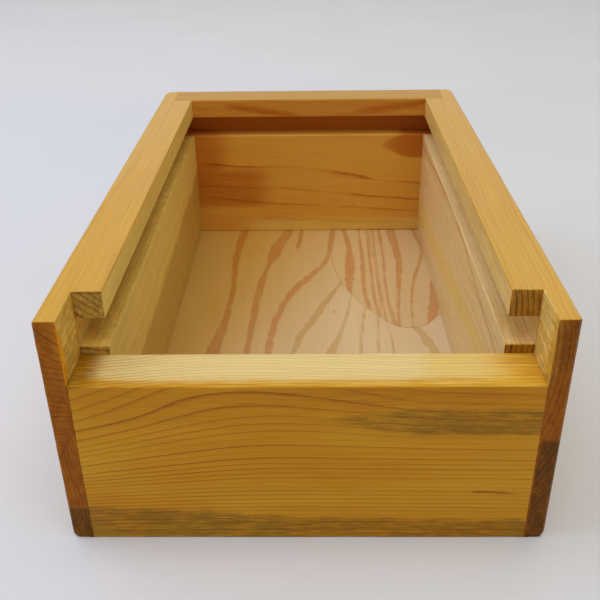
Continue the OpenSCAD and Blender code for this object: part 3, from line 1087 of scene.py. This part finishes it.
def patch_outline(grow):
    """The outline's points, anticlockwise, moved outwards by grow."""
    side_r, end_r = PATCH_SIDE_R + grow, PATCH_END_R + grow
    side_x = PATCH_SIDE_R - PATCH_W / 2
    end_y = math.sqrt((PATCH_SIDE_R - PATCH_END_R) ** 2 - side_x ** 2)
    tilt = math.atan2(end_y, side_x)
    arcs = (
        (-side_x, 0, side_r, -tilt, tilt, 60),
        (0, end_y, end_r, tilt, math.pi - tilt, 24),
        (side_x, 0, side_r, math.pi - tilt, math.pi + tilt, 60),
        (0, -end_y, end_r, math.pi + tilt, 2 * math.pi - tilt, 24),
    )
    out = []
    for cx, cy, r, start, stop, steps in arcs:
        for i in range(steps):
            a = start + (stop - start) * i / steps
            out.append((PATCH_X + cx + r * math.cos(a), PATCH_Y + cy + r * math.sin(a)))
    return np.array(out)


def outline_distance(x, y):
    """Distance from the patch's outline, in mm."""
    outline = patch_outline(0)
    best = np.full(len(x), 1e9)
    for cx, cy in outline:
        best = np.minimum(best, np.hypot(x - cx, y - cy))
    return best


veneer_low, veneer_high = box_mm("bottom_face_veneer")
SEAM = 0.025
hole_cutter = prism("hole_cutter", patch_outline(SEAM), veneer_low[2] - 2, veneer_high[2] + 2)
plug_cutter = prism("plug_cutter", patch_outline(-SEAM), veneer_low[2] - 2, veneer_high[2] + 2)
sheet = new_object("face_veneer", *slab(veneer_low, veneer_high))
plug = new_object("boat_patch", *slab(veneer_low, veneer_high))
cut(sheet, hole_cutter)
cut(plug, plug_cutter, "INTERSECT")

for piece, node, slot, bands in (
    (sheet, "bottom_face_veneer", "face_veneer", VENEER_BANDS),
    (plug, "veneer_patch", "patch_veneer", PATCH_BANDS),
):
    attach(piece, "root")
    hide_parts(node)
    p = points_of(piece)
    band, tone, fray = band_fields(p[:, 0], p[:, 1], bands)
    set_field(piece, "band", band)
    set_field(piece, "tone", tone)
    set_field(piece, "frayed", fray)
    set_field(piece, "seam", np.clip(1 - outline_distance(p[:, 0], p[:, 1]) / 1.6, 0, 1))
    # across holds painted light: 0 where the left wall shades the floor, at its left and back, and 1 on
    # its lit right
    set_field(piece, "across", ramp(-70, 60, p[:, 0] - 0.25 * p[:, 1]))
    shade(piece)
sheet.data.materials.append(veneer(
    "face_veneer_wood", base=(0.62, 0.42, 0.15), shaded=(0.56, 0.325, 0.058), lit=(0.78, 0.60, 0.40)
))
plug.data.materials.append(veneer(
    "patch_wood", base=(0.66, 0.46, 0.21), shaded=(0.62, 0.42, 0.16), lit=(0.70, 0.49, 0.26)
))


def dress(node, material):
    """Gives a CAD node that no finer mesh replaces its material."""
    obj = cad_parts[node]
    obj.data.materials.clear()
    obj.data.materials.append(material)


dress("bottom_core", plain_ply("core_wood", "#c49a62", "#9a6a34", 0))
dress("bottom_back_veneer", plain_ply("back_veneer_wood", "#cfa878", "#a86c38", 1))
wire = steel("brad_wire")
dress("corner_brads", wire)
dress("bottom_brads", wire)

# ---- Stage: floor, light and camera ----

FLOOR_REACH = 8000
UNDER = -0.05                     # just below the box, so that the two faces don't flicker
floor_corners = [(x, y, UNDER) for x, y in FLOOR_REACH * np.array([(-1, -1), (1, -1), (1, 1), (-1, 1)])]
floor = new_object("floor", np.array(floor_corners), [(0, 1, 2, 3)])
floor.data.materials.append(paper("paper"))


def area_light(name, place, target, size, power, colour):
    """A rectangular lamp at place that faces target, in metres and watts."""
    data = bpy.data.lights.new(name, "AREA")
    data.shape = "RECTANGLE"
    data.size, data.size_y = size
    data.energy = power
    data.color = colour
    obj = bpy.data.objects.new(name, data)
    obj.location = place
    direction = Vector(target) - Vector(place)
    obj.rotation_euler = direction.to_track_quat("-Z", "Y").to_euler()
    scene.collection.objects.link(obj)


area_light("window_left", (-1.1, 0.2, 1.3), (0, 0, 0.05), (1.4, 1.4), 10.5, (0.76, 0.84, 1.0))
area_light("ceiling", (0.1, -0.45, 1.8), (0, 0, 0.05), (1.6, 1.6), 15, (1.0, 0.97, 0.90))
area_light("wall_behind", (0.2, 1.6, 0.9), (0, 0, 0.1), (2.2, 1.2), 3, (1.0, 0.98, 0.95))

world = bpy.data.worlds.new("studio")
scene.world = world
world.use_nodes = True
world.node_tree.nodes["Background"].inputs["Color"].default_value = (1.0, 0.96, 0.88, 1)
world.node_tree.nodes["Background"].inputs["Strength"].default_value = 0.385

CAMERA_PLACE = Vector((2.87, -376.8, 235.6)) * MM
CAMERA_PITCH, CAMERA_YAW, CAMERA_ROLL = (math.radians(a) for a in (29.22, 1.13, -0.835))
CAMERA_LENS = 48.47
ahead = Vector((-math.sin(CAMERA_YAW), math.cos(CAMERA_YAW), 0))
right_hand = Vector((math.cos(CAMERA_YAW), math.sin(CAMERA_YAW), 0))
forward = math.cos(CAMERA_PITCH) * ahead - math.sin(CAMERA_PITCH) * Vector((0, 0, 1))
upward = math.sin(CAMERA_PITCH) * ahead + math.cos(CAMERA_PITCH) * Vector((0, 0, 1))
rolled_right = math.cos(CAMERA_ROLL) * right_hand + math.sin(CAMERA_ROLL) * upward
rolled_up = -math.sin(CAMERA_ROLL) * right_hand + math.cos(CAMERA_ROLL) * upward
camera_data = bpy.data.cameras.new("camera")
camera_data.sensor_width = 36
camera_data.lens = CAMERA_LENS
camera_data.clip_start = 0.01
camera = bpy.data.objects.new("camera", camera_data)
pose = Matrix((rolled_right, rolled_up, -forward)).transposed().to_4x4()
pose.translation = CAMERA_PLACE
camera.matrix_world = pose
scene.collection.objects.link(camera)
scene.camera = camera
scene.view_settings.view_transform = "Standard"
